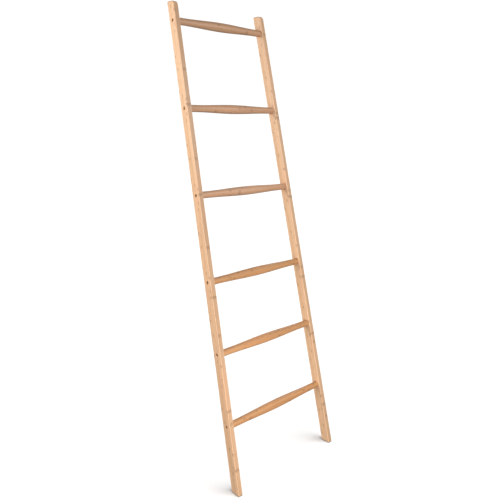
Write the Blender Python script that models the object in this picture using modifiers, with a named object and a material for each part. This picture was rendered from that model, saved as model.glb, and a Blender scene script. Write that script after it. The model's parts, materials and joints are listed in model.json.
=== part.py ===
"""Leaning bamboo ladder rack: two tapering side rails, six turned rungs, bolts, inserts and foot pads.

World frame in metres: +X runs along the rungs to the right rail, +Y goes back to the wall that the
ladder leans on, and +Z is up. The floor is at Z = 0, below the middle of the ladder's bounding box.

The ladder is laid out in its own frame, turned back by the lean: there +Z runs up the ladder from the
floor, and +Y is square to the ladder's front, towards the wall.
"""

import math

import bmesh
import bpy
from mathutils import Vector

COLLECTION_NAME = "leaning_ladder"
CUTTER_COLLECTION_NAME = "cutters"

# The whole ladder
RAIL_LENGTH = 1.732
WIDTH_AT_FOOT = 0.500
WIDTH_AT_TOP = 0.420
LEAN = math.radians(12.8)
LOWEST_RUNG_HEIGHT = 0.240
LOWER_RUNG_PITCH = 0.255
UPPER_RUNG_PITCH = 0.305
LOWER_PITCH_COUNT = 2
RUNG_COUNT = 6

# Side rails
RAIL_THICKNESS = 0.019
RAIL_DEPTH = 0.038
RAIL_EDGE_RADIUS = 0.0025
RAIL_TOP_FRONT_ROUNDING = 0.013
RAIL_TOP_BACK_ROUNDING = 0.006
RAIL_EDGE_SEGMENTS = 2
RAIL_TOP_SEGMENTS = 4
ROUNDED_EDGE_ANGLE = math.radians(40)
FOOT_SURPLUS = 0.030

# Turned rungs
RUNG_END_RADIUS = 0.0123
RUNG_MIDDLE_RADIUS = 0.0164
RUNG_END_CHAMFER = 0.0010
RUNG_SWELL_SHARE = 0.88
RUNG_SWELL_POINTS = 11
RUNG_SIDES = 20

# The joint of a rung and a rail, measured through the rail's thickness
SOCKET_DEPTH = 0.0080
COUNTERBORE_DEPTH = 0.0060
CLEARANCE = 0.0003
JOINT_SIDES = 20

# Bolts with a hexagon socket
BOLT_HEAD_RADIUS = 0.0050
BOLT_HEAD_HEIGHT = 0.0040
BOLT_HEAD_CHAMFER = 0.0005
BOLT_SHANK_RADIUS = 0.0030
BOLT_REACH = 0.0110
BOLT_TIP_CHAMFER = 0.0008
BOLT_SIDES = 12
HEX_ACROSS_FLATS = 0.0040
HEX_DEPTH = 0.0022

# Threaded inserts
INSERT_RADIUS = 0.0050
INSERT_LENGTH = 0.0130
INSERT_CHAMFER = 0.0006
INSERT_POCKET_DEPTH = 0.0145
INSERT_SIDES = 12

# Foot pads
PAD_THICKNESS = 0.0030
PAD_INSET = 0.0004
PAD_CORNER_RADIUS = 0.0025
PAD_CORNER_SEGMENTS = 3

# Worked out from the sizes above
SPLAY = math.atan((WIDTH_AT_FOOT - WIDTH_AT_TOP) / 2 / RAIL_LENGTH)
RAIL_X_AT_FOOT = WIDTH_AT_FOOT / 2 - RAIL_THICKNESS / 2 / math.cos(SPLAY)
SIDES = {"left": -1, "right": 1}
MERGE_DISTANCE = 0.00001
FLOOR_CUTTER_WIDTH = 2 * WIDTH_AT_FOOT
FLOOR_CUTTER_DEPTH = 0.2
EMPTY_SIZE = 0.1


def clear_scene():
    for old in list(bpy.data.objects):
        bpy.data.objects.remove(old, do_unlink=True)


def new_collection(name):
    collection = bpy.data.collections.new(name)
    bpy.context.scene.collection.children.link(collection)
    return collection


def new_material(name, color, roughness, metallic=0.0):
    material = bpy.data.materials.new(name)
    material.use_nodes = True
    shader = material.node_tree.nodes["Principled BSDF"]
    shader.inputs["Base Color"].default_value = (*color, 1.0)
    shader.inputs["Roughness"].default_value = roughness
    shader.inputs["Metallic"].default_value = metallic
    return material


def rail_bamboo():
    return new_material("rail_bamboo", (0.80, 0.53, 0.30), 0.45)


def rung_bamboo():
    return new_material("rung_bamboo", (0.62, 0.33, 0.15), 0.45)


def bolt_bronze():
    return new_material("bolt_bronze", (0.13, 0.08, 0.05), 0.40, metallic=1.0)


def insert_zinc():
    return new_material("insert_zinc", (0.62, 0.60, 0.55), 0.35, metallic=1.0)


def pad_rubber():
    return new_material("pad_rubber", (0.20, 0.16, 0.13), 0.85)


def add_object(name, mesh, collection, parent=None):
    added = bpy.data.objects.new(name, mesh)
    collection.objects.link(added)
    added.parent = parent
    return added


def add_empty(name, collection, parent=None):
    empty = add_object(name, None, collection, parent)
    empty.empty_display_size = EMPTY_SIZE
    return empty


def hide_cutter(cutter):
    cutter.hide_render = True
    cutter.display_type = "WIRE"


def mesh_from_bmesh(name, shape):
    mesh = bpy.data.meshes.new(name)
    shape.to_mesh(mesh)
    shape.free()
    return mesh


def box_bmesh(size, centre):
    """A box of the given size, with its middle at centre."""
    shape = bmesh.new()
    bmesh.ops.create_cube(shape, size=1.0)
    bmesh.ops.scale(shape, vec=Vector(size), verts=shape.verts)
    bmesh.ops.translate(shape, vec=Vector(centre), verts=shape.verts)
    return shape


def bevel_edges_at(shape, test, width, segments):
    """Round the edges whose middle point passes the test, to a width along both their faces."""
    edges = [edge for edge in shape.edges if test((edge.verts[0].co + edge.verts[1].co) / 2)]
    bmesh.ops.bevel(
        shape,
        geom=edges,
        offset=width,
        segments=segments,
        profile=0.5,
        affect="EDGES",
    )


def turned_object(name, profile, sides, collection, closed=False):
    """Turn a profile of (radius, height) points about the local Z axis with a Screw modifier.

    The points run down the outer side, from the top to the bottom.
    """
    mesh = bpy.data.meshes.new(name)
    points = [(radius, 0.0, height) for radius, height in profile]
    edges = [(index, index + 1) for index in range(len(points) - 1)]
    if closed:
        edges.append((len(points) - 1, 0))
    mesh.from_pydata(points, edges, [])
    turned = add_object(name, mesh, collection)
    screw = turned.modifiers.new("turn", "SCREW")
    screw.axis = "Z"
    screw.angle = math.tau
    screw.steps = sides
    screw.render_steps = sides
    screw.use_merge_vertices = True
    screw.merge_threshold = MERGE_DISTANCE
    screw.use_smooth_shade = True
    return turned


def take_finished_mesh(source, name):
    """The evaluated mesh of an object, kept as a mesh of its own. The object itself is removed."""
    depsgraph = bpy.context.evaluated_depsgraph_get()
    mesh = bpy.data.meshes.new_from_object(source.evaluated_get(depsgraph))
    mesh.name = name
    bpy.data.objects.remove(source, do_unlink=True)
    return mesh


def rung_heights():
    """Height of each rung along the ladder, from rung 1 at the top to the lowest."""
    heights = [LOWEST_RUNG_HEIGHT]
    for index in range(RUNG_COUNT - 1):
        pitch = LOWER_RUNG_PITCH if index < LOWER_PITCH_COUNT else UPPER_RUNG_PITCH
        heights.append(heights[-1] + pitch)
    return heights[::-1]


def rail_x(height):
    """Distance from the ladder's middle to a rail's middle plane, at a height along the ladder."""
    return RAIL_X_AT_FOOT - height * math.tan(SPLAY)


def rung_half_length(height):
    """Distance from the ladder's middle to the end of the rung that sits in the sockets there."""
    inner_face = rail_x(height) - RAIL_THICKNESS / 2
    return inner_face + SOCKET_DEPTH - CLEARANCE


def rung_radius(share):
    """Radius of a rung at a share of its swollen half length, from 0 at the middle to 1."""
    swell = math.cos(share * math.pi / 2) ** 2
    return RUNG_END_RADIUS + (RUNG_MIDDLE_RADIUS - RUNG_END_RADIUS) * swell


def rung_profile(half_length):
    """Half of the rung's long section, with the pockets for the inserts in both ends."""
    pocket_radius = INSERT_RADIUS + CLEARANCE
    swell_length = (half_length - SOCKET_DEPTH) * RUNG_SWELL_SHARE
    upper = [
        (0.0, half_length - INSERT_POCKET_DEPTH),
        (pocket_radius, half_length - INSERT_POCKET_DEPTH),
        (pocket_radius, half_length),
        (RUNG_END_RADIUS - RUNG_END_CHAMFER, half_length),
        (RUNG_END_RADIUS, half_length - RUNG_END_CHAMFER),
    ]
    shares = [1 - 2 * index / (RUNG_SWELL_POINTS - 1) for index in range(RUNG_SWELL_POINTS)]
    middle = [(rung_radius(share), share * swell_length) for share in shares]
    lower = [(radius, -position) for radius, position in reversed(upper)]
    return upper + middle + lower


def joint_cutter_profile():
    """Section of the hole through a rail, from the inner face (top) to the outer face (bottom)."""
    socket_floor = RAIL_THICKNESS / 2 - SOCKET_DEPTH
    counterbore_floor = COUNTERBORE_DEPTH - RAIL_THICKNESS / 2
    socket_radius = RUNG_END_RADIUS + CLEARANCE
    hole_radius = BOLT_SHANK_RADIUS + CLEARANCE
    counterbore_radius = BOLT_HEAD_RADIUS + 2 * CLEARANCE
    reach = RAIL_THICKNESS
    return [
        (0.0, reach),
        (socket_radius, reach),
        (socket_radius, socket_floor),
        (hole_radius, socket_floor),
        (hole_radius, counterbore_floor),
        (counterbore_radius, counterbore_floor),
        (counterbore_radius, -reach),
        (0.0, -reach),
    ]


def build_joint_cutter(name, side, height, cutters, lean_frame):
    """The turned hole of one rung in one rail, lying across the rail along X."""
    cutter = turned_object(name, joint_cutter_profile(), JOINT_SIDES, cutters)
    cutter.parent = lean_frame
    cutter.location = (side * rail_x(height), 0.0, height)
    cutter.rotation_euler = (0.0, -side * math.pi / 2, 0.0)
    hide_cutter(cutter)
    return cutter


def build_floor_cutter(cutters, ladder):
    """A block whose top face cuts both feet level, just above the pads."""
    top = PAD_THICKNESS + CLEARANCE
    size = (FLOOR_CUTTER_WIDTH, FLOOR_CUTTER_WIDTH, FLOOR_CUTTER_DEPTH)
    shape = box_bmesh(size, (0.0, 0.0, top - FLOOR_CUTTER_DEPTH / 2))
    cutter = add_object("floor_cutter", mesh_from_bmesh("floor_cutter", shape), cutters, ladder)
    hide_cutter(cutter)
    return cutter


def rail_mesh(name):
    """A bar along Z. Its top end is level once it leans, and is rounded more at the front."""
    top = RAIL_LENGTH / math.cos(SPLAY)
    size = (RAIL_THICKNESS, RAIL_DEPTH, top + FOOT_SURPLUS)
    shape = box_bmesh(size, (0.0, 0.0, (top - FOOT_SURPLUS) / 2))
    for vertex in shape.verts:
        if vertex.co.z > 0:
            vertex.co.z += vertex.co.y * math.tan(LEAN)
    half_depth = RAIL_DEPTH / 2
    ends = {-half_depth: RAIL_TOP_FRONT_ROUNDING, half_depth: RAIL_TOP_BACK_ROUNDING}
    for edge_y, rounding in ends.items():

        def on_top_edge(middle, edge_y=edge_y):
            return middle.z > top - half_depth and abs(middle.y - edge_y) < MERGE_DISTANCE

        bevel_edges_at(shape, on_top_edge, rounding, RAIL_TOP_SEGMENTS)
    return mesh_from_bmesh(name, shape)


def cut_with(target, cutter):
    cut = target.modifiers.new(f"cut_{cutter.name}", "BOOLEAN")
    cut.operation = "DIFFERENCE"
    cut.solver = "EXACT"
    cut.object = cutter


def build_rail(side_name, collection, lean_frame, cutters, floor_cutter, material):
    side = SIDES[side_name]
    name = f"{side_name}_rail"
    rail = add_object(name, rail_mesh(name), collection, lean_frame)
    rail.location = (side * RAIL_X_AT_FOOT, 0.0, 0.0)
    rail.rotation_euler = (0.0, -side * SPLAY, 0.0)
    rail.data.materials.append(material)
    edges = rail.modifiers.new("rounded_edges", "BEVEL")
    edges.width = RAIL_EDGE_RADIUS
    edges.segments = RAIL_EDGE_SEGMENTS
    edges.limit_method = "ANGLE"
    edges.angle_limit = ROUNDED_EDGE_ANGLE
    cut_with(rail, floor_cutter)
    for number, height in enumerate(rung_heights(), start=1):
        cutter_name = f"joint_cutter_{side_name}_{number}"
        cut_with(rail, build_joint_cutter(cutter_name, side, height, cutters, lean_frame))
    return rail


def build_rung(number, height, collection, lean_frame, material):
    half_length = rung_half_length(height)
    rung = turned_object(f"rung_{number}", rung_profile(half_length), RUNG_SIDES, collection)
    rung.parent = lean_frame
    rung.location = (0.0, 0.0, height)
    rung.rotation_euler = (0.0, math.pi / 2, 0.0)
    rung.data.materials.append(material)
    return rung


def bolt_mesh(collection):
    """A bolt along Z, its head's bearing face at Z = 0 and its shank pointing down."""
    profile = [
        (0.0, BOLT_HEAD_HEIGHT),
        (BOLT_HEAD_RADIUS - BOLT_HEAD_CHAMFER, BOLT_HEAD_HEIGHT),
        (BOLT_HEAD_RADIUS, BOLT_HEAD_HEIGHT - BOLT_HEAD_CHAMFER),
        (BOLT_HEAD_RADIUS, 0.0),
        (BOLT_SHANK_RADIUS, 0.0),
        (BOLT_SHANK_RADIUS, BOLT_TIP_CHAMFER - bolt_shank_length()),
        (BOLT_SHANK_RADIUS - BOLT_TIP_CHAMFER, -bolt_shank_length()),
        (0.0, -bolt_shank_length()),
    ]
    bolt = turned_object("bolt", profile, BOLT_SIDES, collection)
    hexagon = bmesh.new()
    corner_radius = HEX_ACROSS_FLATS / 2 / math.cos(math.pi / 6)
    bmesh.ops.create_cone(
        hexagon,
        cap_ends=True,
        segments=6,
        radius1=corner_radius,
        radius2=corner_radius,
        depth=2 * HEX_DEPTH,
    )
    key = add_object("hex_key", mesh_from_bmesh("hex_key", hexagon), collection)
    key.location = (0.0, 0.0, BOLT_HEAD_HEIGHT)
    cut_with(bolt, key)
    bpy.context.view_layer.update()
    mesh = take_finished_mesh(bolt, "bolt")
    bpy.data.objects.remove(key, do_unlink=True)
    return mesh


def web_thickness():
    """Wood left between the socket and the counterbore, which the bolt clamps."""
    return RAIL_THICKNESS - SOCKET_DEPTH - COUNTERBORE_DEPTH


def bolt_shank_length():
    return web_thickness() + 2 * CLEARANCE + BOLT_REACH


def insert_mesh(collection):
    """A sleeve along Z, its outer end at Z = 0 and its body below."""
    bore = BOLT_SHANK_RADIUS + CLEARANCE
    profile = [
        (bore, 0.0),
        (INSERT_RADIUS - INSERT_CHAMFER, 0.0),
        (INSERT_RADIUS, -INSERT_CHAMFER),
        (INSERT_RADIUS, INSERT_CHAMFER - INSERT_LENGTH),
        (INSERT_RADIUS - INSERT_CHAMFER, -INSERT_LENGTH),
        (bore, -INSERT_LENGTH),
    ]
    sleeve = turned_object("insert", profile, INSERT_SIDES, collection, closed=True)
    bpy.context.view_layer.update()
    return take_finished_mesh(sleeve, "insert")


def place_across(piece, side, distance, height, lean_frame):
    """Lay a piece along X with its +Z end pointing outwards, at a distance from the middle."""
    piece.parent = lean_frame
    piece.location = (side * distance, 0.0, height)
    piece.rotation_euler = (0.0, side * math.pi / 2, 0.0)


def build_fasteners(side_name, number, height, collection, lean_frame, meshes):
    side = SIDES[side_name]
    bolt = add_object(f"bolt_{side_name}_{number}", meshes["bolt"], collection)
    bearing_face = rail_x(height) + RAIL_THICKNESS / 2 - COUNTERBORE_DEPTH + CLEARANCE
    place_across(bolt, side, bearing_face, height, lean_frame)
    insert = add_object(f"insert_{side_name}_{number}", meshes["insert"], collection)
    place_across(insert, side, rung_half_length(height) - CLEARANCE, height, lean_frame)


def build_foot_pad(side_name, collection, ladder, material):
    """A thin pad that covers the level foot face."""
    side = SIDES[side_name]
    name = f"foot_pad_{side_name}"
    width = RAIL_THICKNESS / math.cos(SPLAY) - 2 * PAD_INSET
    depth = RAIL_DEPTH / math.cos(LEAN) - 2 * PAD_INSET
    shape = box_bmesh((width, depth, PAD_THICKNESS), (0.0, 0.0, PAD_THICKNESS / 2))

    def upright(middle):
        return abs(middle.z - PAD_THICKNESS / 2) < MERGE_DISTANCE

    bevel_edges_at(shape, upright, PAD_CORNER_RADIUS, PAD_CORNER_SEGMENTS)
    pad = add_object(name, mesh_from_bmesh(name, shape), collection, ladder)
    foot_height = PAD_THICKNESS + CLEARANCE
    pad.location = (side * rail_x(foot_height), foot_height * math.tan(LEAN), 0.0)
    pad.data.materials.append(material)
    return pad


def centre_over_origin(ladder, pieces):
    """Slide the ladder along Y until the middle of its bounding box is over the origin."""
    bpy.context.view_layer.update()
    depsgraph = bpy.context.evaluated_depsgraph_get()
    depths = []
    for piece in pieces:
        evaluated = piece.evaluated_get(depsgraph)
        matrix = evaluated.matrix_world
        depths.extend((matrix @ vertex.co).y for vertex in evaluated.data.vertices)
    ladder.location.y = -(min(depths) + max(depths)) / 2


def main():
    clear_scene()
    collection = new_collection(COLLECTION_NAME)
    cutters = new_collection(CUTTER_COLLECTION_NAME)
    ladder = add_empty("ladder", collection)
    lean_frame = add_empty("lean_frame", collection, ladder)
    lean_frame.rotation_euler = (-LEAN, 0.0, 0.0)

    floor_cutter = build_floor_cutter(cutters, ladder)
    rail_material = rail_bamboo()
    rails = [
        build_rail(side_name, collection, lean_frame, cutters, floor_cutter, rail_material)
        for side_name in SIDES
    ]

    rung_material = rung_bamboo()
    meshes = {"bolt": bolt_mesh(collection), "insert": insert_mesh(collection)}
    meshes["bolt"].materials.append(bolt_bronze())
    meshes["insert"].materials.append(insert_zinc())
    for number, height in enumerate(rung_heights(), start=1):
        build_rung(number, height, collection, lean_frame, rung_material)
        for side_name in SIDES:
            build_fasteners(side_name, number, height, collection, lean_frame, meshes)

    pad_material = pad_rubber()
    pads = [build_foot_pad(side_name, collection, ladder, pad_material) for side_name in SIDES]
    centre_over_origin(ladder, rails + pads)


main()
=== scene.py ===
"""Leaning bamboo ladder rack: the finished pieces, their materials and a white studio.

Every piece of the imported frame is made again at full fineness, in the place that the frame gives it.
Lengths are metres and angles are radians. +X runs along the rungs, +Y goes back to the wall that the
ladder leans on, and +Z is up from the floor.
"""

import json
import math

import bmesh
import bpy
from bpy.props import FloatProperty, FloatVectorProperty, IntProperty, PointerProperty
from mathutils import Euler, Matrix, Vector

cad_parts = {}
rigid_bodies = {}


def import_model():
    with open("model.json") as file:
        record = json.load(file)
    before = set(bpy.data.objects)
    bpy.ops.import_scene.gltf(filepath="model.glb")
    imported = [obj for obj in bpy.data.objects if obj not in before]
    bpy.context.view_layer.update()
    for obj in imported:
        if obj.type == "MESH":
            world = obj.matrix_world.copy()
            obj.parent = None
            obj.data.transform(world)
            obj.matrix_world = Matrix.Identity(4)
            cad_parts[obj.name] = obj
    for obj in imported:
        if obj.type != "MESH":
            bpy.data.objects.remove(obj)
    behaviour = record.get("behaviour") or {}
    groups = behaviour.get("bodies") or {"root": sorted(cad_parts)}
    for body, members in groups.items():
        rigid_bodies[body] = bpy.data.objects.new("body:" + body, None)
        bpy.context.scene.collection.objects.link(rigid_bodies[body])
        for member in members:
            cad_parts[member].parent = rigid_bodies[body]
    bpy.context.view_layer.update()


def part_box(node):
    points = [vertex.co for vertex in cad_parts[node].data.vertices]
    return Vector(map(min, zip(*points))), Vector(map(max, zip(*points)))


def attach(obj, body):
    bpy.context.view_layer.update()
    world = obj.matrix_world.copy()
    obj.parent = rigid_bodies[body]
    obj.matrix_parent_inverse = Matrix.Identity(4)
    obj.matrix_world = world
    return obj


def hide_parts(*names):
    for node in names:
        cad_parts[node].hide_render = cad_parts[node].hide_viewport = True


bl_info = {
    "name": "Leaning Bamboo Ladder",
    "version": (1, 0, 0),
    "blender": (4, 5, 0),
    "location": "View3D > Sidebar > Ladder",
    "description": "Builds the finished rails, rungs, fasteners and feet of a leaning bamboo ladder rack",
    "category": "Add Mesh",
}

for leftover in list(bpy.data.objects):
    bpy.data.objects.remove(leftover, do_unlink=True)
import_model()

BODY = "root"
SIDES = {"left": -1, "right": 1}
RUNG_NUMBERS = range(1, 7)

# Sizes of the joints, as the frame's solids have them
RAIL_THICKNESS = 0.019
RAIL_DEPTH = 0.038
RAIL_LENGTH = 1.732
SOCKET_DEPTH = 0.0080
COUNTERBORE_DEPTH = 0.0060
CLEARANCE = 0.0003
RUNG_END_RADIUS = 0.0123
RUNG_MIDDLE_RADIUS = 0.0164
SWELL_SHARE = 0.88
BOLT_HEAD_RADIUS = 0.0050
BOLT_HEAD_HEIGHT = 0.0040
BOLT_SHANK_RADIUS = 0.0030
BOLT_REACH = 0.0110
INSERT_RADIUS = 0.0050
INSERT_LENGTH = 0.0130
INSERT_POCKET_DEPTH = 0.0145
MERGE_DISTANCE = 0.000005


def middle_of(node):
    low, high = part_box(node)
    return (low + high) / 2


def size_of(node):
    low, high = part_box(node)
    return high - low


def half_length_of(number):
    return size_of(f"rung_{number}").x / 2


# The ladder's own frame: its foot on the floor, its +Z up along the rails
UP = (middle_of("rung_1") - middle_of("rung_6")).normalized()
FOOT = middle_of("rung_6") - UP * (middle_of("rung_6").z / UP.z)
LEAN = math.atan2(UP.y, UP.z)
LEAN_FRAME = Matrix.Translation(FOOT) @ Matrix.Rotation(-LEAN, 4, "X")


def height_of(number):
    """Height of a rung along the ladder."""
    return (middle_of(f"rung_{number}") - FOOT).dot(UP)


SPLAY = math.atan((half_length_of(6) - half_length_of(1)) / (height_of(1) - height_of(6)))
RAIL_X_AT_FOOT = (
    half_length_of(6)
    + height_of(6) * math.tan(SPLAY)
    - SOCKET_DEPTH
    + CLEARANCE
    + RAIL_THICKNESS / 2
)


def rail_x(height):
    """Distance from the ladder's middle to a rail's middle plane, at a height along the ladder."""
    return RAIL_X_AT_FOOT - height * math.tan(SPLAY)


# ---------------------------------------------------------------------------------------------
# Settings
# ---------------------------------------------------------------------------------------------


class BambooSettings(bpy.types.PropertyGroup):
    """Colours and grain of the rails and rungs."""

    rail_light: FloatVectorProperty(
        name="Rail light",
        description="Palest strips of the side rails",
        subtype="COLOR",
        size=3,
        min=0.0,
        max=1.0,
        default=(0.69, 0.43, 0.25),
    )
    rail_dark: FloatVectorProperty(
        name="Rail dark",
        description="Deepest strips of the side rails",
        subtype="COLOR",
        size=3,
        min=0.0,
        max=1.0,
        default=(0.56, 0.33, 0.18),
    )
    rung_light: FloatVectorProperty(
        name="Rung light",
        description="Palest strips of the rungs",
        subtype="COLOR",
        size=3,
        min=0.0,
        max=1.0,
        default=(0.52, 0.29, 0.15),
    )
    rung_dark: FloatVectorProperty(
        name="Rung dark",
        description="Deepest strips of the rungs",
        subtype="COLOR",
        size=3,
        min=0.0,
        max=1.0,
        default=(0.40, 0.21, 0.10),
    )
    node_color: FloatVectorProperty(
        name="Joint mark",
        description="Brown of the bands that the growth joints of the stalk leave across a strip",
        subtype="COLOR",
        size=3,
        min=0.0,
        max=1.0,
        default=(0.18, 0.09, 0.04),
    )
    strip_width: FloatProperty(
        name="Strip width",
        description="Width of one glued strip of bamboo",
        default=RAIL_DEPTH / 7,
        min=0.003,
        max=0.012,
        unit="LENGTH",
    )
    node_pitch: FloatProperty(
        name="Joint pitch",
        description="Usual distance between the growth joints of the stalk",
        default=0.31,
        min=0.1,
        max=0.6,
        unit="LENGTH",
    )


class RailSettings(bpy.types.PropertyGroup):
    """Shape of the side rails."""

    edge_radius: FloatProperty(
        name="Edge radius",
        description="Rounding of a rail's long edges",
        default=0.0026,
        min=0.0005,
        max=0.006,
        unit="LENGTH",
    )
    edge_segments: IntProperty(
        name="Edge segments",
        description="Faces across the rounding of a long edge",
        default=5,
        min=2,
        max=12,
    )
    top_front_rounding: FloatProperty(
        name="Top front rounding",
        description="Width of the rounding of a rail's top end at the front",
        default=0.013,
        min=0.001,
        max=0.020,
        unit="LENGTH",
    )
    top_back_rounding: FloatProperty(
        name="Top back rounding",
        description="Width of the rounding of a rail's top end at the back, where it touches the wall",
        default=0.006,
        min=0.001,
        max=0.015,
        unit="LENGTH",
    )


class RungSettings(bpy.types.PropertyGroup):
    """Fineness of the turned rungs."""

    sides: IntProperty(
        name="Sides",
        description="Faces round a rung",
        default=48,
        min=16,
        max=128,
    )
    swell_points: IntProperty(
        name="Swell points",
        description="Points along the swollen part of a rung",
        default=41,
        min=9,
        max=161,
    )
    end_chamfer: FloatProperty(
        name="End chamfer",
        description="Chamfer on the end that goes into the socket",
        default=0.001,
        min=0.0,
        max=0.003,
        unit="LENGTH",
    )


class FastenerSettings(bpy.types.PropertyGroup):
    """Shape and finish of the bolts and inserts."""

    hex_across_flats: FloatProperty(
        name="Key size",
        description="Width across the flats of the hexagon socket in a bolt's head",
        default=0.004,
        min=0.002,
        max=0.006,
        unit="LENGTH",
    )
    hex_depth: FloatProperty(
        name="Key depth",
        description="Depth of the hexagon socket",
        default=0.0022,
        min=0.001,
        max=0.0035,
        unit="LENGTH",
    )
    thread_pitch: FloatProperty(
        name="Thread pitch",
        description="Distance between the ridges of the bolt's thread",
        default=0.001,
        min=0.0005,
        max=0.002,
        unit="LENGTH",
    )
    bronze: FloatVectorProperty(
        name="Bronze",
        description="Colour of the dark coating on the bolts",
        subtype="COLOR",
        size=3,
        min=0.0,
        max=1.0,
        default=(0.34, 0.165, 0.055),
    )
    zinc: FloatVectorProperty(
        name="Zinc",
        description="Colour of the plated inserts",
        subtype="COLOR",
        size=3,
        min=0.0,
        max=1.0,
        default=(0.62, 0.60, 0.55),
    )


class PadSettings(bpy.types.PropertyGroup):
    """Shape and finish of the foot pads."""

    corner_radius: FloatProperty(
        name="Corner radius",
        description="Rounding of a pad's upright corners",
        default=0.0025,
        min=0.0005,
        max=0.006,
        unit="LENGTH",
    )
    groove_count: IntProperty(
        name="Grooves",
        description="Grip grooves across the underside of a pad",
        default=6,
        min=0,
        max=12,
    )
    groove_depth: FloatProperty(
        name="Groove depth",
        description="Depth of the grip grooves",
        default=0.0006,
        min=0.0001,
        max=0.002,
        unit="LENGTH",
    )
    rubber: FloatVectorProperty(
        name="Rubber",
        description="Colour of the pads",
        subtype="COLOR",
        size=3,
        min=0.0,
        max=1.0,
        default=(0.20, 0.155, 0.125),
    )


class StudioSettings(bpy.types.PropertyGroup):
    """Camera, lights and floor."""

    camera_place: FloatVectorProperty(
        name="Camera place",
        description="Where the camera stands",
        subtype="TRANSLATION",
        unit="LENGTH",
        size=3,
        default=(-1.274, -1.425, 1.263),
    )
    camera_turn: FloatProperty(
        name="Camera turn",
        description="How far the view turns from +Y towards +X",
        default=math.radians(41.54),
        subtype="ANGLE",
    )
    camera_dip: FloatProperty(
        name="Camera dip",
        description="How far the view points below the horizon",
        default=math.radians(11.47),
        subtype="ANGLE",
    )
    focal_length: FloatProperty(
        name="Focal length",
        description="Focal length in millimetres for a 36 mm wide sensor",
        default=37.45,
        min=20.0,
        max=120.0,
    )
    camera_rise: FloatProperty(
        name="Vertical shift",
        description="Vertical shift of the camera's frame, as a share of its width",
        default=-0.0352,
        min=-0.1,
        max=0.1,
    )
    floor_color: FloatVectorProperty(
        name="Floor",
        description="Colour of the studio floor",
        subtype="COLOR",
        size=3,
        min=0.0,
        max=1.0,
        default=(0.90, 0.90, 0.90),
    )
    ambient: FloatProperty(
        name="Ambient",
        description="Strength of the even light that the room gives",
        default=0.30,
        min=0.0,
        max=3.0,
    )
    floor_light: FloatProperty(
        name="Floor light",
        description="Strength of the overhead light on the floor, in watts per square metre",
        default=3.1,
        min=0.0,
        max=10.0,
    )
    floor_softness: FloatProperty(
        name="Floor light width",
        description="How wide the overhead light looks from the floor",
        default=math.radians(23),
        min=0.0,
        max=math.pi,
        subtype="ANGLE",
    )
    floor_light_tilt: FloatProperty(
        name="Floor light tilt",
        description="How far the overhead light leans to the right of straight up",
        default=math.radians(4),
        subtype="ANGLE",
    )


# ---------------------------------------------------------------------------------------------
# Mesh tools
# ---------------------------------------------------------------------------------------------


def new_object(name, mesh, matrix=Matrix.Identity(4)):
    made = bpy.data.objects.new(name, mesh)
    bpy.context.scene.collection.objects.link(made)
    made.matrix_world = matrix
    return made


def mesh_from_bmesh(name, shape):
    mesh = bpy.data.meshes.new(name)
    shape.to_mesh(mesh)
    shape.free()
    return mesh


def box_shape(size, centre):
    """A box of the given size, with its middle at centre."""
    shape = bmesh.new()
    bmesh.ops.create_cube(shape, size=1.0)
    bmesh.ops.scale(shape, vec=Vector(size), verts=shape.verts)
    bmesh.ops.translate(shape, vec=Vector(centre), verts=shape.verts)
    return shape


def round_edges(shape, test, radius, segments):
    """Round the edges whose middle point passes the test."""
    edges = [edge for edge in shape.edges if test((edge.verts[0].co + edge.verts[1].co) / 2)]
    if not edges:
        raise RuntimeError("no edge to round")
    bmesh.ops.bevel(
        shape, geom=edges, offset=radius, segments=segments, profile=0.5, affect="EDGES"
    )


def finished_mesh(source, name):
    """The mesh of an object with its modifiers applied. The object itself is removed."""
    bpy.context.view_layer.update()
    depsgraph = bpy.context.evaluated_depsgraph_get()
    mesh = bpy.data.meshes.new_from_object(source.evaluated_get(depsgraph))
    mesh.name = name
    bpy.data.objects.remove(source, do_unlink=True)
    if not mesh.polygons:
        raise RuntimeError(f"{name} came out empty")
    return mesh


def turned_mesh(name, profile, sides):
    """A closed body of (radius, height) points turned about local Z.

    The points run down the outer side, from the top to the bottom. A profile that ends where it
    starts makes a ring.
    """
    mesh = bpy.data.meshes.new(name)
    ring = profile[0] == profile[-1]
    points = [(radius, 0.0, height) for radius, height in (profile[:-1] if ring else profile)]
    edges = [(index, index + 1) for index in range(len(points) - 1)]
    if ring:
        edges.append((len(points) - 1, 0))
    mesh.from_pydata(points, edges, [])
    blank = new_object(name, mesh)
    screw = blank.modifiers.new("turn", "SCREW")
    screw.steps = sides
    screw.render_steps = sides
    screw.use_merge_vertices = True
    screw.merge_threshold = MERGE_DISTANCE
    turned = finished_mesh(blank, name)
    smooth(turned)
    return turned


def smooth(mesh, angle=math.radians(32)):
    mesh.shade_smooth()
    mesh.set_sharp_from_angle(angle=angle)


def cut(target, cutter):
    difference = target.modifiers.new("cut", "BOOLEAN")
    difference.operation = "DIFFERENCE"
    difference.solver = "EXACT"
    difference.object = cutter


def keep_flats_flat(target):
    normals = target.modifiers.new("flat_faces", "WEIGHTED_NORMAL")
    normals.keep_sharp = True
    normals.weight = 100


def arc(centre, radius, start, end, steps):
    """Points of an arc as (radius, height) pairs. Angles run from +radius towards +height."""
    turns = [start + (end - start) * step / steps for step in range(steps + 1)]
    return [
        (centre[0] + radius * math.cos(turn), centre[1] + radius * math.sin(turn))
        for turn in turns
    ]


# Where the crest of a thread's ridge starts and ends, as shares of its pitch
CREST_START = 0.45
CREST_END = 0.60


def ridges(outer, inner, top, bottom, pitch):
    """Points of a thread's ridges, running down from top to bottom."""
    count = max(1, int((top - bottom) / pitch))
    step = (top - bottom) / count
    points = []
    for index in range(count):
        start = top - index * step
        points.append((inner, start))
        points.append((outer, start - step * CREST_START))
        points.append((outer, start - step * CREST_END))
    points.append((inner, bottom))
    return points


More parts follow.
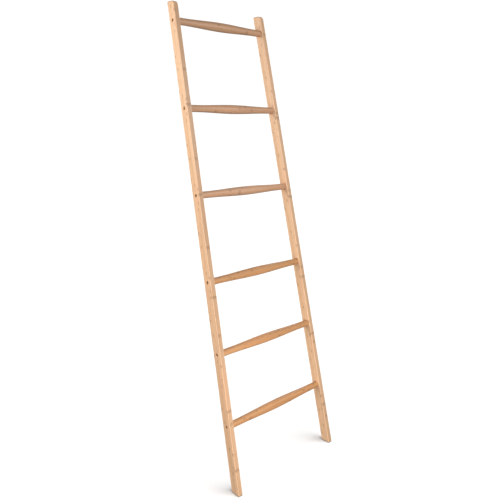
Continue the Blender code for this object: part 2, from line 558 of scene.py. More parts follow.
def take_place(piece, node, materials):
    """The piece stands for a solid of the frame, moves with its body and has its finish."""
    for material in materials:
        piece.data.materials.append(material)
    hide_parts(node)
    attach(piece, BODY)


# ---------------------------------------------------------------------------------------------
# Materials
# ---------------------------------------------------------------------------------------------


# How strongly each part of the figure of the bamboo shows, as shares
STRIP_CONTRAST = 0.55
FIBRE_CONTRAST = 1.1
DRIFT_CONTRAST = 1.3
BLUSH_SHARES = (1.0, 0.90, 0.86)
BLUSH_STRENGTH = 0.45
FIGURE_STRENGTH = 0.34
MARK_STRENGTH = 0.75
TOP_END_DARKENING = 0.45
GLUE_LINE_SHARE = 0.035

# Lengths in the figure
GRAIN_RELIEF = 0.00012
MARK_WOBBLE = 0.007
MARK_LINE_CORE = 0.0002
MARK_LINE_EDGE = 0.0016
MARK_SHADE_OFFSET = 0.0035
MARK_SHADE_REACH = 0.0090
MARK_SHADE_STRENGTH = 0.55
FRONT_MARK_FULL = 0.0050
FRONT_MARK_END = 0.0070
TOP_DARKENING_START = 0.0060
TOP_DARKENING_FULL = 0.0005


class Graph:
    """Adds nodes to one material. A socket or a plain value may be given wherever a value is read."""

    def __init__(self, name):
        self.material = bpy.data.materials.new(name)
        self.material.use_nodes = True
        self.tree = self.material.node_tree
        self.shader = self.tree.nodes["Principled BSDF"]

    def add(self, kind, **settings):
        node = self.tree.nodes.new(kind)
        for setting, value in settings.items():
            setattr(node, setting, value)
        return node

    def feed(self, socket, value):
        if isinstance(value, bpy.types.NodeSocket):
            self.tree.links.new(value, socket)
        else:
            socket.default_value = value

    def set_shader(self, **values):
        for name, value in values.items():
            self.feed(self.shader.inputs[name.replace("_", " ").title().replace("Ior", "IOR")], value)

    def coordinates(self):
        """X, Y and Z in the piece's own frame, in metres."""
        source = self.add("ShaderNodeTexCoord")
        parts = self.add("ShaderNodeSeparateXYZ")
        self.feed(parts.inputs[0], source.outputs["Object"])
        return parts.outputs[0], parts.outputs[1], parts.outputs[2]

    def calc(self, operation, first, second=0.0, third=0.0):
        node = self.add("ShaderNodeMath", operation=operation)
        for socket, value in zip(node.inputs, (first, second, third)):
            self.feed(socket, value)
        return node.outputs[0]

    def ease(self, value, low, high, to_low=0.0, to_high=1.0):
        """value from low to high becomes to_low to to_high, with soft ends."""
        node = self.add("ShaderNodeMapRange", interpolation_type="SMOOTHSTEP")
        for socket, given in zip(node.inputs, (value, low, high, to_low, to_high)):
            self.feed(socket, given)
        return node.outputs[0]

    def noise(self, place, across, along, detail=2.0, roughness=0.5, seed=0.0):
        """Noise from 0 to 1 with its own scale across and along the grain, per metre."""
        x, y, z = place
        vector = self.add("ShaderNodeCombineXYZ")
        self.feed(vector.inputs[0], self.calc("MULTIPLY_ADD", x, across, seed))
        self.feed(vector.inputs[1], self.calc("MULTIPLY", y, across))
        self.feed(vector.inputs[2], self.calc("MULTIPLY", z, along))
        node = self.add("ShaderNodeTexNoise")
        self.feed(node.inputs["Vector"], vector.outputs[0])
        self.feed(node.inputs["Scale"], 1.0)
        self.feed(node.inputs["Detail"], detail)
        self.feed(node.inputs["Roughness"], roughness)
        return node.outputs[0]

    def random(self, value):
        node = self.add("ShaderNodeTexWhiteNoise", noise_dimensions="1D")
        self.feed(node.inputs["W"], value)
        return node.outputs[0]

    def blend(self, factor, first, second, mode="MIX"):
        node = self.add("ShaderNodeMix", data_type="RGBA", blend_type=mode)
        self.feed(node.inputs[0], factor)
        for socket, color in ((node.inputs[6], first), (node.inputs[7], second)):
            self.feed(socket, color if isinstance(color, bpy.types.NodeSocket) else (*color, 1.0))
        return node.outputs[2]

    def bump(self, height, distance, strength=1.0, under=None):
        node = self.add("ShaderNodeBump")
        self.feed(node.inputs["Height"], height)
        self.feed(node.inputs["Distance"], distance)
        self.feed(node.inputs["Strength"], strength)
        if under is not None:
            self.feed(node.inputs["Normal"], under)
        return node.outputs[0]


def bamboo_material(name, light, dark, seed, front_marks=(), top_end=None):
    """Glued strips of bamboo: fibres along local Z, strips side by side along local Y.

    front_marks are heights of growth joints on the front face, and top_end is the height of the top end;
    every face grows darker in the last six millimetres below it.
    """
    bamboo = bpy.context.scene.ladder_bamboo
    graph = Graph(name)
    place = graph.coordinates()
    y, z = place[1:]

    # Strips, each with a tone of its own and a thin glue line between neighbours
    across = graph.calc("DIVIDE", graph.calc("ADD", y, RAIL_DEPTH / 2), bamboo.strip_width)
    row = graph.calc("FLOOR", across)
    tone = graph.random(graph.calc("ADD", row, seed))
    offset = graph.random(graph.calc("ADD", row, seed + 37.3))
    from_edge = graph.calc("PINGPONG", across, 0.5)
    glue = graph.ease(from_edge, 0.0, GLUE_LINE_SHARE, 1.0, 0.0)

    # Long fibres, short dark vessels and slow changes of colour along the stalk
    fibre = graph.noise(place, 900.0, 9.0, detail=4.0, roughness=0.65, seed=seed)
    vessel = graph.noise(place, 2300.0, 30.0, detail=1.0, seed=seed + 5.0)
    vessel = graph.ease(vessel, 0.56, 0.70)
    drift = graph.noise(place, 70.0, 3.2, detail=2.0, seed=seed + 11.0)
    patch = graph.noise(place, 24.0, 7.0, detail=1.0, seed=seed + 23.0)

    tone = graph.calc("MULTIPLY_ADD", graph.calc("SUBTRACT", tone, 0.5), STRIP_CONTRAST, 0.5)
    tone = graph.calc("MULTIPLY_ADD", graph.calc("SUBTRACT", fibre, 0.5), FIBRE_CONTRAST, tone)
    tone = graph.calc("MULTIPLY_ADD", graph.calc("SUBTRACT", drift, 0.5), DRIFT_CONTRAST, tone)
    color = graph.blend(graph.ease(tone, 0.0, 1.0), light, dark)
    blush = [min(1.0, channel * share) for channel, share in zip(light, BLUSH_SHARES)]
    color = graph.blend(graph.ease(patch, 0.50, 0.75, 0.0, BLUSH_STRENGTH), color, blush)
    brown = tuple(bamboo.node_color)
    color = graph.blend(graph.calc("MULTIPLY", vessel, FIGURE_STRENGTH), color, brown)
    color = graph.blend(graph.calc("MULTIPLY", glue, FIGURE_STRENGTH), color, brown)

    # Growth joints: a dark line with a soft shadow, at its own height in every strip
    wobble = graph.noise(place, 70.0, 12.0, detail=1.0, seed=seed + 31.0)
    wobbled = graph.calc("MULTIPLY_ADD", graph.calc("SUBTRACT", wobble, 0.5), MARK_WOBBLE, z)
    shifted = graph.calc("MULTIPLY_ADD", offset, bamboo.node_pitch * 3.0, wobbled)
    cycle = graph.calc("FRACT", graph.calc("DIVIDE", shifted, bamboo.node_pitch))
    gap = graph.calc("MULTIPLY", graph.calc("SUBTRACT", cycle, 0.5), bamboo.node_pitch)
    marks = joint_mark(graph, gap)
    front = -RAIL_DEPTH / 2
    for height in front_marks:
        on_front = graph.ease(y, front + FRONT_MARK_FULL, front + FRONT_MARK_END, 1.0, 0.0)
        mark = joint_mark(graph, graph.calc("SUBTRACT", wobbled, height))
        marks = graph.calc("MAXIMUM", marks, graph.calc("MULTIPLY", mark, on_front))
    color = graph.blend(graph.calc("MULTIPLY", marks, MARK_STRENGTH), color, brown)
    # Darker towards the top end, on every face
    if top_end is not None:
        level = graph.calc("MULTIPLY_ADD", y, -math.tan(LEAN), wobbled)
        start, full = top_end - TOP_DARKENING_START, top_end - TOP_DARKENING_FULL
        top_darkening = graph.ease(level, start, full, 0.0, TOP_END_DARKENING)
        color = graph.blend(top_darkening, color, brown)

    relief = graph.calc("MULTIPLY_ADD", vessel, -0.6, fibre)
    relief = graph.calc("MULTIPLY_ADD", glue, -0.8, relief)
    relief = graph.calc("MULTIPLY_ADD", marks, 1.2, relief)
    graph.set_shader(
        base_color=color,
        roughness=graph.calc("MULTIPLY_ADD", fibre, 0.22, 0.34),
        normal=graph.bump(relief, GRAIN_RELIEF, 0.55),
        coat_weight=0.12,
        coat_roughness=0.30,
    )
    return graph.material


def joint_mark(graph, gap):
    """Strength of a growth joint's band at a signed distance along the strip."""
    line = graph.ease(graph.calc("ABSOLUTE", gap), MARK_LINE_CORE, MARK_LINE_EDGE, 1.0, 0.0)
    beside = graph.calc("ABSOLUTE", graph.calc("ADD", gap, MARK_SHADE_OFFSET))
    shade = graph.ease(beside, 0.0, MARK_SHADE_REACH, MARK_SHADE_STRENGTH, 0.0)
    return graph.calc("MAXIMUM", line, shade)


def bronze_material():
    """Dark bronze coating, rubbed a little brighter in fine specks."""
    color = bpy.context.scene.ladder_fasteners.bronze
    graph = Graph("bolt_bronze_finish")
    place = graph.coordinates()
    speck = graph.noise(place, 2600.0, 2600.0, detail=3.0)
    cloud = graph.noise(place, 420.0, 420.0, detail=2.0, seed=4.0)
    rubbed = [min(1.0, channel * 1.6) for channel in color]
    graph.set_shader(
        base_color=graph.blend(graph.ease(cloud, 0.45, 0.75, 0.0, 0.55), tuple(color), rubbed),
        metallic=0.85,
        roughness=graph.calc("MULTIPLY_ADD", speck, 0.30, 0.32),
        normal=graph.bump(speck, 0.00004, 0.5),
    )
    return graph.material


def zinc_material():
    """Bright plating with fine turning marks round the axis."""
    color = bpy.context.scene.ladder_fasteners.zinc
    graph = Graph("insert_zinc_finish")
    place = graph.coordinates()
    turning = graph.noise(place, 90.0, 5200.0, detail=2.0)
    dull = [channel * 0.72 for channel in color]
    graph.set_shader(
        base_color=graph.blend(turning, tuple(color), dull),
        metallic=1.0,
        roughness=graph.calc("MULTIPLY_ADD", turning, 0.25, 0.22),
        normal=graph.bump(turning, 0.00003, 0.4),
    )
    return graph.material


def rubber_material():
    """Matt rubber with a fine pebbled skin and a little dust."""
    color = bpy.context.scene.ladder_pads.rubber
    graph = Graph("pad_rubber_finish")
    place = graph.coordinates()
    pebble = graph.noise(place, 1900.0, 1900.0, detail=2.0)
    dust = graph.noise(place, 240.0, 240.0, detail=3.0, seed=9.0)
    dusty = [channel * 0.6 + 0.22 for channel in color]
    graph.set_shader(
        base_color=graph.blend(graph.ease(dust, 0.45, 0.80, 0.0, 0.5), tuple(color), dusty),
        roughness=graph.calc("MULTIPLY_ADD", pebble, 0.20, 0.72),
        normal=graph.bump(pebble, 0.00010, 0.6),
    )
    return graph.material


def floor_material():
    color = bpy.context.scene.ladder_studio.floor_color
    graph = Graph("studio_floor_finish")
    place = graph.coordinates()
    grain = graph.noise(place, 3.0, 3.0, detail=2.0)
    shade = [channel * 0.985 for channel in color]
    graph.set_shader(
        base_color=graph.blend(grain, tuple(color), shade),
        roughness=0.85,
        specular_ior_level=0.1,
    )
    return graph.material


# ---------------------------------------------------------------------------------------------
# Rails
# ---------------------------------------------------------------------------------------------

HOLE_SIDES = 48
CUTTER_REACH = 0.019
MOUTH_CHAMFER = 0.0005
FOOT_SURPLUS = 0.030
FLOOR_CUTTER_WIDTH = 1.2
FLOOR_CUTTER_DEPTH = 0.4
RAIL_TOP_SEGMENTS = 8
ROUNDED_EDGE_ANGLE = math.radians(40)
RAIL_FRONT_MARKS = {
    "left": (0.092, 0.300, 0.700, 1.060, 1.372),
    "right": (0.160, 0.455, 0.690, 1.015, 1.330),
}
RAIL_SEEDS = {"left": 3.0, "right": 21.0}


def joint_cutter_profile():
    """Section of the hole through a rail, from the inner face (top) to the outer face (bottom)."""
    half = RAIL_THICKNESS / 2
    socket = RUNG_END_RADIUS + CLEARANCE
    hole = BOLT_SHANK_RADIUS + CLEARANCE
    bore = BOLT_HEAD_RADIUS + 2 * CLEARANCE
    flare = CUTTER_REACH - half + MOUTH_CHAMFER
    return [
        (0.0, CUTTER_REACH),
        (socket + flare, CUTTER_REACH),
        (socket, half - MOUTH_CHAMFER),
        (socket, half - SOCKET_DEPTH),
        (hole, half - SOCKET_DEPTH),
        (hole, COUNTERBORE_DEPTH - half),
        (bore, COUNTERBORE_DEPTH - half),
        (bore, MOUTH_CHAMFER - half),
        (bore + flare, -CUTTER_REACH),
        (0.0, -CUTTER_REACH),
    ]


def rail_blank(side_name, settings):
    """A bar along local Z, longer than needed at the foot. Its rounded top end is level as it leans."""
    top = RAIL_LENGTH / math.cos(SPLAY)
    size = (RAIL_THICKNESS, RAIL_DEPTH, top + FOOT_SURPLUS)
    shape = box_shape(size, (0.0, 0.0, (top - FOOT_SURPLUS) / 2))
    for vertex in shape.verts:
        if vertex.co.z > 0:
            vertex.co.z += vertex.co.y * math.tan(LEAN)
    half_depth = RAIL_DEPTH / 2
    ends = {-half_depth: settings.top_front_rounding, half_depth: settings.top_back_rounding}
    for edge_y, rounding in ends.items():

        def on_top_edge(middle, edge_y=edge_y):
            return middle.z > top - half_depth and abs(middle.y - edge_y) < MERGE_DISTANCE

        round_edges(shape, on_top_edge, rounding, RAIL_TOP_SEGMENTS)
    blank = new_object(f"{side_name}_rail_blank", mesh_from_bmesh("rail_blank", shape))
    side = SIDES[side_name]
    shift = Matrix.Translation((side * RAIL_X_AT_FOOT, 0.0, 0.0))
    blank.matrix_world = LEAN_FRAME @ shift @ Matrix.Rotation(-side * SPLAY, 4, "Y")
    edges = blank.modifiers.new("rounded_edges", "BEVEL")
    edges.width = settings.edge_radius
    edges.segments = settings.edge_segments
    edges.limit_method = "ANGLE"
    edges.angle_limit = ROUNDED_EDGE_ANGLE
    return blank


def build_rail(side_name):
    settings = bpy.context.scene.ladder_rails
    side = SIDES[side_name]
    blank = rail_blank(side_name, settings)
    matrix = blank.matrix_world.copy()
    foot_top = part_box(f"{side_name}_rail")[0].z
    block_size = (FLOOR_CUTTER_WIDTH, FLOOR_CUTTER_WIDTH, FLOOR_CUTTER_DEPTH)
    floor_block = box_shape(block_size, (0.0, 0.0, foot_top - FLOOR_CUTTER_DEPTH / 2))
    cutters = [new_object("floor_block", mesh_from_bmesh("floor_block", floor_block))]
    joint = turned_mesh("joint_cutter", joint_cutter_profile(), HOLE_SIDES)
    for number in RUNG_NUMBERS:
        height = height_of(number)
        across = Matrix.Translation((side * rail_x(height), 0.0, height))
        turn = Matrix.Rotation(-side * math.pi / 2, 4, "Y")
        cutters.append(new_object("joint_cutter", joint, LEAN_FRAME @ across @ turn))
    for cutter in cutters:
        cut(blank, cutter)
    name = f"{side_name}_rail_finished"
    mesh = finished_mesh(blank, name)
    for cutter in cutters:
        bpy.data.objects.remove(cutter, do_unlink=True)
    smooth(mesh)
    rail = new_object(name, mesh, matrix)
    keep_flats_flat(rail)
    bamboo = bpy.context.scene.ladder_bamboo
    material = bamboo_material(
        f"rail_bamboo_{side_name}",
        tuple(bamboo.rail_light),
        tuple(bamboo.rail_dark),
        RAIL_SEEDS[side_name],
        RAIL_FRONT_MARKS[side_name],
        RAIL_LENGTH / math.cos(SPLAY),
    )
    take_place(rail, f"{side_name}_rail", [material])


class LADDER_OT_rails(bpy.types.Operator):
    """Build both side rails, with their sockets, bolt holes and level feet"""

    bl_idname = "ladder.rails"
    bl_label = "Side rails"

    def execute(self, context):
        for side_name in SIDES:
            build_rail(side_name)
        return {"FINISHED"}


# ---------------------------------------------------------------------------------------------
# Rungs
# ---------------------------------------------------------------------------------------------


def rung_profile(half_length, settings):
    """Long section of a rung: a spindle with straight ends and a pocket in each for its insert."""
    pocket = INSERT_RADIUS + CLEARANCE
    chamfer = settings.end_chamfer
    swell_length = (half_length - SOCKET_DEPTH) * SWELL_SHARE
    upper = [
        (0.0, half_length - INSERT_POCKET_DEPTH),
        (pocket, half_length - INSERT_POCKET_DEPTH),
        (pocket, half_length),
        (RUNG_END_RADIUS - chamfer, half_length),
        (RUNG_END_RADIUS, half_length - chamfer),
    ]
    count = settings.swell_points
    shares = [1 - 2 * index / (count - 1) for index in range(count)]
    middle = [
        (
            RUNG_END_RADIUS
            + (RUNG_MIDDLE_RADIUS - RUNG_END_RADIUS) * math.cos(share * math.pi / 2) ** 2,
            share * swell_length,
        )
        for share in shares
    ]
    lower = [(radius, -height) for radius, height in reversed(upper)]
    return upper + middle + lower


# The upper rungs are tinted greyer than the lower ones, which are golden, and the top one is darkened:
# painted shade
UPPER_RUNGS = (2, 3)
UPPER_RUNG_TINT = (0.99, 1.00, 1.10)
LOWER_RUNG_TINT = (0.95, 0.84, 0.66)
TOP_RUNG_PAINTED_SHADE = (0.87, 0.87, 0.92)

# Each rung is turned about its axis and starts its grain at a number of its own
RUNG_ROLL_DEGREES = 67.0
RUNG_FIRST_SEED = 50.0
RUNG_SEED_STEP = 9.0


def tinted(color, tint):
    return tuple(min(1.0, channel * share) for channel, share in zip(color, tint))


def build_rung(number):
    settings = bpy.context.scene.ladder_rungs
    bamboo = bpy.context.scene.ladder_bamboo
    name = f"rung_{number}_finished"
    mesh = turned_mesh(name, rung_profile(half_length_of(number), settings), settings.sides)
    if number == 1:
        # painted shade: the top rung's colour is darkened
        tint = TOP_RUNG_PAINTED_SHADE
    elif number in UPPER_RUNGS:
        tint = UPPER_RUNG_TINT
    else:
        tint = LOWER_RUNG_TINT
    lie_across = Matrix.Rotation(math.pi / 2, 4, "Y")
    roll = Matrix.Rotation(math.radians(RUNG_ROLL_DEGREES * number), 4, "Z")
    place = Matrix.Translation((0.0, 0.0, height_of(number)))
    rung = new_object(name, mesh, LEAN_FRAME @ place @ lie_across @ roll)
    material = bamboo_material(
        f"rung_bamboo_{number}",
        tinted(bamboo.rung_light, tint),
        tinted(bamboo.rung_dark, tint),
        RUNG_FIRST_SEED + RUNG_SEED_STEP * number,
    )
    take_place(rung, f"rung_{number}", [material])


class LADDER_OT_rungs(bpy.types.Operator):
    """Build the six turned rungs"""

    bl_idname = "ladder.rungs"
    bl_label = "Rungs"

    def execute(self, context):
        for number in RUNG_NUMBERS:
            build_rung(number)
        return {"FINISHED"}


# ---------------------------------------------------------------------------------------------
# Bolts and inserts
# ---------------------------------------------------------------------------------------------

FASTENER_SIDES = 36
HEAD_ROLL = 0.0009
HEAD_ROLL_STEPS = 5
EDGE_BREAK = 0.0002
BOLT_THREAD_DEPTH = 0.0004
BOLT_THREAD_RUNOUT = 0.0003
BOLT_TIP_LENGTH = 0.0008
BOLT_TIP_DROP = 0.0010
KEY_SIDES = 6
BOLT_TURN_PER_RUNG_DEGREES = 23.0
BOLT_TURN_PER_SIDE_DEGREES = 40.0

# The bevelled mouth of the key's socket, with its radii as shares of the hexagon's corner radius
KEY_MOUTH_BOTTOM = 0.86
KEY_MOUTH_TOP = 1.22
KEY_MOUTH_DEPTH = 0.0012

# The insert's rims and its coarse wood thread
INSERT_LIP = 0.0005
INSERT_RIM_DROP = 0.0004
INSERT_TIP_DROP = 0.0014
WOOD_THREAD_DEPTH = 0.0008
WOOD_THREAD_START = 0.0016
WOOD_THREAD_PITCH = 0.0022
BORE_THREAD_DEPTH = 0.0003


def across_ladder(node, side, distance):
    """Frame of a piece that lies along X with its +Z end outwards, at a distance from the middle."""
    middle = middle_of(node)
    height = (middle - FOOT).dot(UP)
    place = Matrix.Translation((side * distance, 0.0, height))
    return LEAN_FRAME @ place @ Matrix.Rotation(side * math.pi / 2, 4, "Y")


def bolt_mesh(settings):
    """A socket-head bolt along Z, its bearing face at Z = 0 and its threaded shank below."""
    web = RAIL_THICKNESS - SOCKET_DEPTH - COUNTERBORE_DEPTH
    tip = -(web + 2 * CLEARANCE + BOLT_REACH)
    roll_centre = (BOLT_HEAD_RADIUS - HEAD_ROLL, BOLT_HEAD_HEIGHT - HEAD_ROLL)
    head = arc(roll_centre, HEAD_ROLL, math.pi / 2, 0.0, HEAD_ROLL_STEPS)
    profile = [(0.0, BOLT_HEAD_HEIGHT), *head]
    profile += [(BOLT_HEAD_RADIUS, EDGE_BREAK), (BOLT_HEAD_RADIUS - EDGE_BREAK, 0.0)]
    profile += [(BOLT_SHANK_RADIUS, 0.0), (BOLT_SHANK_RADIUS, -web)]
    profile += ridges(
        BOLT_SHANK_RADIUS,
        BOLT_SHANK_RADIUS - BOLT_THREAD_DEPTH,
        -web - BOLT_THREAD_RUNOUT,
        tip + BOLT_TIP_LENGTH,
        settings.thread_pitch,
    )
    profile += [(BOLT_SHANK_RADIUS - BOLT_TIP_DROP, tip), (0.0, tip)]
    blank = new_object("bolt_blank", turned_mesh("bolt_blank", profile, FASTENER_SIDES))
    key_shape = bmesh.new()
    corner = settings.hex_across_flats / 2 / math.cos(math.pi / KEY_SIDES)
    bmesh.ops.create_cone(
        key_shape,
        cap_ends=True,
        segments=KEY_SIDES,
        radius1=corner,
        radius2=corner,
        depth=2 * settings.hex_depth,
    )
    # Both cutters are turned by part of a facet, so that none of their corners meets an edge
    head_top = Matrix.Translation((0.0, 0.0, BOLT_HEAD_HEIGHT))
    key_turn = Matrix.Rotation(math.pi / FASTENER_SIDES, 4, "Z")
    mouth_turn = Matrix.Rotation(math.pi / 2 / FASTENER_SIDES, 4, "Z")
    key = new_object("key", mesh_from_bmesh("key", key_shape), head_top @ key_turn)
    mouth_shape = bmesh.new()
    bmesh.ops.create_cone(
        mouth_shape,
        cap_ends=True,
        segments=FASTENER_SIDES,
        radius1=corner * KEY_MOUTH_BOTTOM,
        radius2=corner * KEY_MOUTH_TOP,
        depth=KEY_MOUTH_DEPTH,
    )
    mouth = new_object("mouth", mesh_from_bmesh("mouth", mouth_shape), head_top @ mouth_turn)
    cut(blank, key)
    cut(blank, mouth)
    mesh = finished_mesh(blank, "bolt_finished")
    for cutter in (key, mouth):
        bpy.data.objects.remove(cutter, do_unlink=True)
    smooth(mesh)
    return mesh


def insert_mesh(settings):
    """A sleeve along Z with wood thread outside and machine thread inside, its mouth at Z = 0."""
    bore = BOLT_SHANK_RADIUS + CLEARANCE
    lip = INSERT_LIP
    outside = ridges(
        INSERT_RADIUS,
        INSERT_RADIUS - WOOD_THREAD_DEPTH,
        -WOOD_THREAD_START,
        -INSERT_LENGTH + lip,
        WOOD_THREAD_PITCH,
    )
    profile = [
        (bore + lip, 0.0),
        (INSERT_RADIUS - lip, 0.0),
        (INSERT_RADIUS - EDGE_BREAK, -INSERT_RIM_DROP),
        *outside,
        (INSERT_RADIUS - INSERT_TIP_DROP, -INSERT_LENGTH),
        (bore + lip, -INSERT_LENGTH),
    ]
    turns = int(INSERT_LENGTH / settings.thread_pitch) - 1
    rise = (INSERT_LENGTH - 2 * lip) / turns
    for index in range(turns):
        start = lip - INSERT_LENGTH + index * rise
        profile += [(bore, start), (bore + BORE_THREAD_DEPTH, start + rise * 0.5)]
    profile += [(bore, -lip), (bore + lip, 0.0)]
    return turned_mesh("insert_finished", profile, FASTENER_SIDES)


class LADDER_OT_bolts(bpy.types.Operator):
    """Build the bolts that clamp the rails to the rungs"""

    bl_idname = "ladder.bolts"
    bl_label = "Bolts"

    def execute(self, context):
        mesh = bolt_mesh(context.scene.ladder_fasteners)
        mesh.materials.append(bronze_material())
        for side_name, side in SIDES.items():
            for number in RUNG_NUMBERS:
                node = f"bolt_{side_name}_{number}"
                low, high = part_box(node)
                head_top = max(abs(low.x), abs(high.x))
                matrix = across_ladder(node, side, head_top - BOLT_HEAD_HEIGHT)
                degrees = BOLT_TURN_PER_RUNG_DEGREES * number + BOLT_TURN_PER_SIDE_DEGREES * side
                turn = Matrix.Rotation(math.radians(degrees), 4, "Z")
                bolt = new_object(f"{node}_finished", mesh, matrix @ turn)
                take_place(bolt, node, [])
        return {"FINISHED"}


class LADDER_OT_inserts(bpy.types.Operator):
    """Build the threaded inserts in the rung ends"""

    bl_idname = "ladder.inserts"
    bl_label = "Inserts"

    def execute(self, context):
        mesh = insert_mesh(context.scene.ladder_fasteners)
        mesh.materials.append(zinc_material())
        for side_name, side in SIDES.items():
            for number in RUNG_NUMBERS:
                node = f"insert_{side_name}_{number}"
                low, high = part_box(node)
                mouth = max(abs(low.x), abs(high.x))
                insert = new_object(f"{node}_finished", mesh, across_ladder(node, side, mouth))
                take_place(insert, node, [])
        return {"FINISHED"}


# ---------------------------------------------------------------------------------------------
# Foot pads
# ---------------------------------------------------------------------------------------------


PAD_CORNER_SEGMENTS = 6
PAD_EDGE_RADIUS = 0.0004
PAD_EDGE_SEGMENTS = 3
PAD_EDGE_ANGLE = math.radians(50)
GROOVE_SHARE = 0.35


def build_pad(side_name, material):
    """A thin slab with rounded corners, a soft lower edge and grip grooves underneath."""
    settings = bpy.context.scene.ladder_pads
    node = f"foot_pad_{side_name}"
    size = size_of(node)
    shape = box_shape(size, (0.0, 0.0, 0.0))

    def upright(middle):
        return abs(middle.z) < MERGE_DISTANCE

    round_edges(shape, upright, settings.corner_radius, PAD_CORNER_SEGMENTS)
    name = f"{node}_finished"
    blank = new_object(name, mesh_from_bmesh(name, shape))
    soft = blank.modifiers.new("soft_edge", "BEVEL")
    soft.width = PAD_EDGE_RADIUS
    soft.segments = PAD_EDGE_SEGMENTS
    soft.limit_method = "ANGLE"
    soft.angle_limit = PAD_EDGE_ANGLE
    cutters = []
    pitch = size.y / (settings.groove_count + 1)
    for index in range(settings.groove_count):
        groove_y = (index + 1) * pitch - size.y / 2
        groove_size = (size.x * 2, pitch * GROOVE_SHARE, settings.groove_depth * 2)
        groove = box_shape(groove_size, (0.0, groove_y, -size.z / 2))
        cutters.append(new_object("groove", mesh_from_bmesh("groove", groove)))
        cut(blank, cutters[-1])
    mesh = finished_mesh(blank, name)
    for cutter in cutters:
        bpy.data.objects.remove(cutter, do_unlink=True)
    smooth(mesh)
    pad = new_object(name, mesh, Matrix.Translation(middle_of(node)))
    take_place(pad, node, [material])


class LADDER_OT_foot_pads(bpy.types.Operator):
    """Build the thin pads under the feet"""

    bl_idname = "ladder.foot_pads"
    bl_label = "Foot pads"

    def execute(self, context):
        material = rubber_material()
        for side_name in SIDES:
            build_pad(side_name, material)
        return {"FINISHED"}


# ---------------------------------------------------------------------------------------------
# Studio
# ---------------------------------------------------------------------------------------------

FLOOR_SIZE = 60.0
BACKDROP_STRENGTH = 1.05
OVERHEAD_HEIGHT = 4.0
SENSOR_WIDTH = 36.0
VIEW_LIMIT = 200.0
WHITE = (1.0, 1.0, 1.0)
DAYLIGHT = (0.93, 1.0, 1.12)
# name: place, point aimed at, width and height, power in watts, and colour where it isn't white
SOFTBOXES = {
    "left_softbox": ((-2.5, 0.0, 1.2), (0.0, 0.1, 1.0), (1.2, 1.2), 30.0),
    "left_back_softbox": ((-2.2, 1.2, 2.0), (0.0, 0.1, 1.3), (1.0, 1.0), 35.0),
    "near_left_softbox": ((-1.3, 0.2, 1.5), (0.0, 0.15, 1.4), (0.8, 0.8), 2.0),
    "front_softbox": ((-0.4, -2.4, 2.0), (0.0, 0.0, 1.2), (1.2, 1.2), 42.0, DAYLIGHT),
    "foot_softbox": ((-0.30, -1.0, 0.35), (-0.25, -0.2, 0.35), (0.6, 0.6), 8.5),
    "near_right_softbox": ((0.5, -0.8, 1.7), (0.15, 0.15, 1.4), (0.6, 0.6), 3.0),
    "back_softbox": ((0.4, 2.6, 1.6), (0.0, 0.0, 0.9), (1.6, 1.6), 42.0),
    "right_softbox": ((2.6, 0.6, 1.5), (0.0, 0.0, 0.9), (1.6, 1.6), 42.0),
}


def build_floor():
    """A white floor that shows the shadows and doesn't throw its own light back up."""
    shape = bmesh.new()
    bmesh.ops.create_grid(shape, x_segments=1, y_segments=1, size=FLOOR_SIZE / 2)
    floor = new_object("studio_floor", mesh_from_bmesh("studio_floor", shape))
    floor.data.materials.append(floor_material())
    floor.visible_diffuse = False
    floor.visible_glossy = False
    return floor


def build_world(studio):
    """A white backdrop to the eye, and a softer even light on the pieces."""
    world = bpy.data.worlds.new("studio_world")
    bpy.context.scene.world = world
    world.use_nodes = True
    tree = world.node_tree
    background = tree.nodes["Background"]
    background.inputs["Color"].default_value = (1.0, 1.0, 1.0, 1.0)
    rays = tree.nodes.new("ShaderNodeLightPath")
    strength = tree.nodes.new("ShaderNodeMapRange")
    strength.inputs["To Min"].default_value = studio.ambient
    strength.inputs["To Max"].default_value = BACKDROP_STRENGTH
    tree.links.new(rays.outputs["Is Camera Ray"], strength.inputs["Value"])
    tree.links.new(strength.outputs["Result"], background.inputs["Strength"])


def listed(name, objects, state):
    """A list for light linking, of objects that are all taken (INCLUDE) or all left out (EXCLUDE)."""
    group = bpy.data.collections.new(name)
    for entry in objects:
        group.objects.link(entry)
    for entry in group.collection_objects:
        entry.light_linking.link_state = state
    return group


def build_softbox(name, place, aim, size, power, color=WHITE):
    lamp = bpy.data.lights.new(name, "AREA")
    lamp.color = color
    lamp.shape = "RECTANGLE"
    lamp.size, lamp.size_y = size
    lamp.energy = power
    softbox = new_object(name, lamp)
    direction = (Vector(aim) - Vector(place)).to_track_quat("-Z", "Y")
    softbox.matrix_world = Matrix.Translation(place) @ direction.to_matrix().to_4x4()
    softbox.visible_camera = False
    return softbox


def build_overhead(studio):
    """Soft light from above, a little to the right, which draws the shadow beside each leaning foot."""
    lamp = bpy.data.lights.new("overhead_light", "SUN")
    lamp.energy = studio.floor_light
    lamp.angle = studio.floor_softness
    overhead = new_object("overhead_light", lamp)
    turn = Euler((0.0, studio.floor_light_tilt, 0.0)).to_matrix().to_4x4()
    overhead.matrix_world = Matrix.Translation((0.0, 0.0, OVERHEAD_HEIGHT)) @ turn
    return overhead


def build_camera(studio):
    lens = bpy.data.cameras.new("studio_camera")
    lens.sensor_width = SENSOR_WIDTH
    lens.lens = studio.focal_length
    lens.shift_y = studio.camera_rise
    lens.clip_end = VIEW_LIMIT
    lens.dof.use_dof = False
    camera = new_object("studio_camera", lens)
    camera.location = studio.camera_place
    camera.rotation_euler = Euler((math.pi / 2 - studio.camera_dip, 0.0, -studio.camera_turn))
    bpy.context.scene.camera = camera


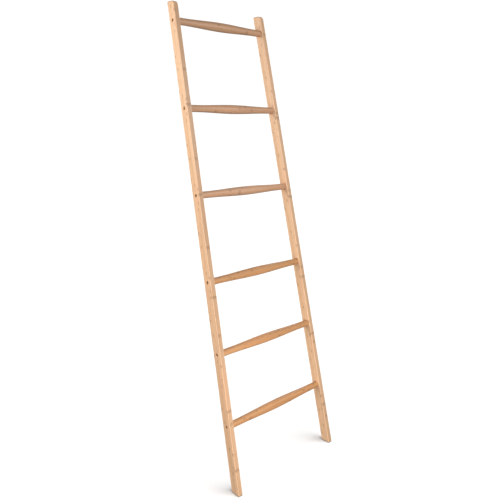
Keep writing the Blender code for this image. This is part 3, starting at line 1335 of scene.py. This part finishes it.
class LADDER_OT_studio(bpy.types.Operator):
    """Build the floor, backdrop, lights and camera"""

    bl_idname = "ladder.studio"
    bl_label = "Studio"

    def execute(self, context):
        studio = context.scene.ladder_studio
        floor = build_floor()
        build_world(studio)
        pieces_only = listed("all_but_floor", [floor], "EXCLUDE")
        for name, settings in SOFTBOXES.items():
            softbox = build_softbox(name, *settings)
            softbox.light_linking.receiver_collection = pieces_only
        overhead = build_overhead(studio)
        uprights = [bpy.data.objects[f"{side_name}_rail_finished"] for side_name in SIDES]
        uprights += [bpy.data.objects[f"foot_pad_{side_name}_finished"] for side_name in SIDES]
        overhead.light_linking.receiver_collection = listed("floor_only", [floor], "INCLUDE")
        overhead.light_linking.blocker_collection = listed("uprights", uprights, "INCLUDE")
        build_camera(studio)
        context.scene.view_settings.view_transform = "Standard"
        return {"FINISHED"}


# ---------------------------------------------------------------------------------------------
# Add-on
# ---------------------------------------------------------------------------------------------


class LADDER_PT_panel(bpy.types.Panel):
    """The steps that build the ladder, in order"""

    bl_idname = "LADDER_PT_panel"
    bl_label = "Leaning bamboo ladder"
    bl_space_type = "VIEW_3D"
    bl_region_type = "UI"
    bl_category = "Ladder"

    def draw(self, context):
        for step in STEPS:
            self.layout.operator(step.bl_idname)


STEPS = (
    LADDER_OT_rails,
    LADDER_OT_rungs,
    LADDER_OT_bolts,
    LADDER_OT_inserts,
    LADDER_OT_foot_pads,
    LADDER_OT_studio,
)
SETTINGS = {
    "ladder_bamboo": BambooSettings,
    "ladder_rails": RailSettings,
    "ladder_rungs": RungSettings,
    "ladder_fasteners": FastenerSettings,
    "ladder_pads": PadSettings,
    "ladder_studio": StudioSettings,
}
CLASSES = (*SETTINGS.values(), *STEPS, LADDER_PT_panel)


def register():
    for cls in CLASSES:
        bpy.utils.register_class(cls)
    for name, group in SETTINGS.items():
        setattr(bpy.types.Scene, name, PointerProperty(type=group))


def unregister():
    for name in SETTINGS:
        delattr(bpy.types.Scene, name)
    for cls in reversed(CLASSES):
        bpy.utils.unregister_class(cls)


def main():
    register()
    bpy.ops.ladder.rails()
    bpy.ops.ladder.rungs()
    bpy.ops.ladder.bolts()
    bpy.ops.ladder.inserts()
    bpy.ops.ladder.foot_pads()
    bpy.ops.ladder.studio()


if __name__ == "__main__":
    main()
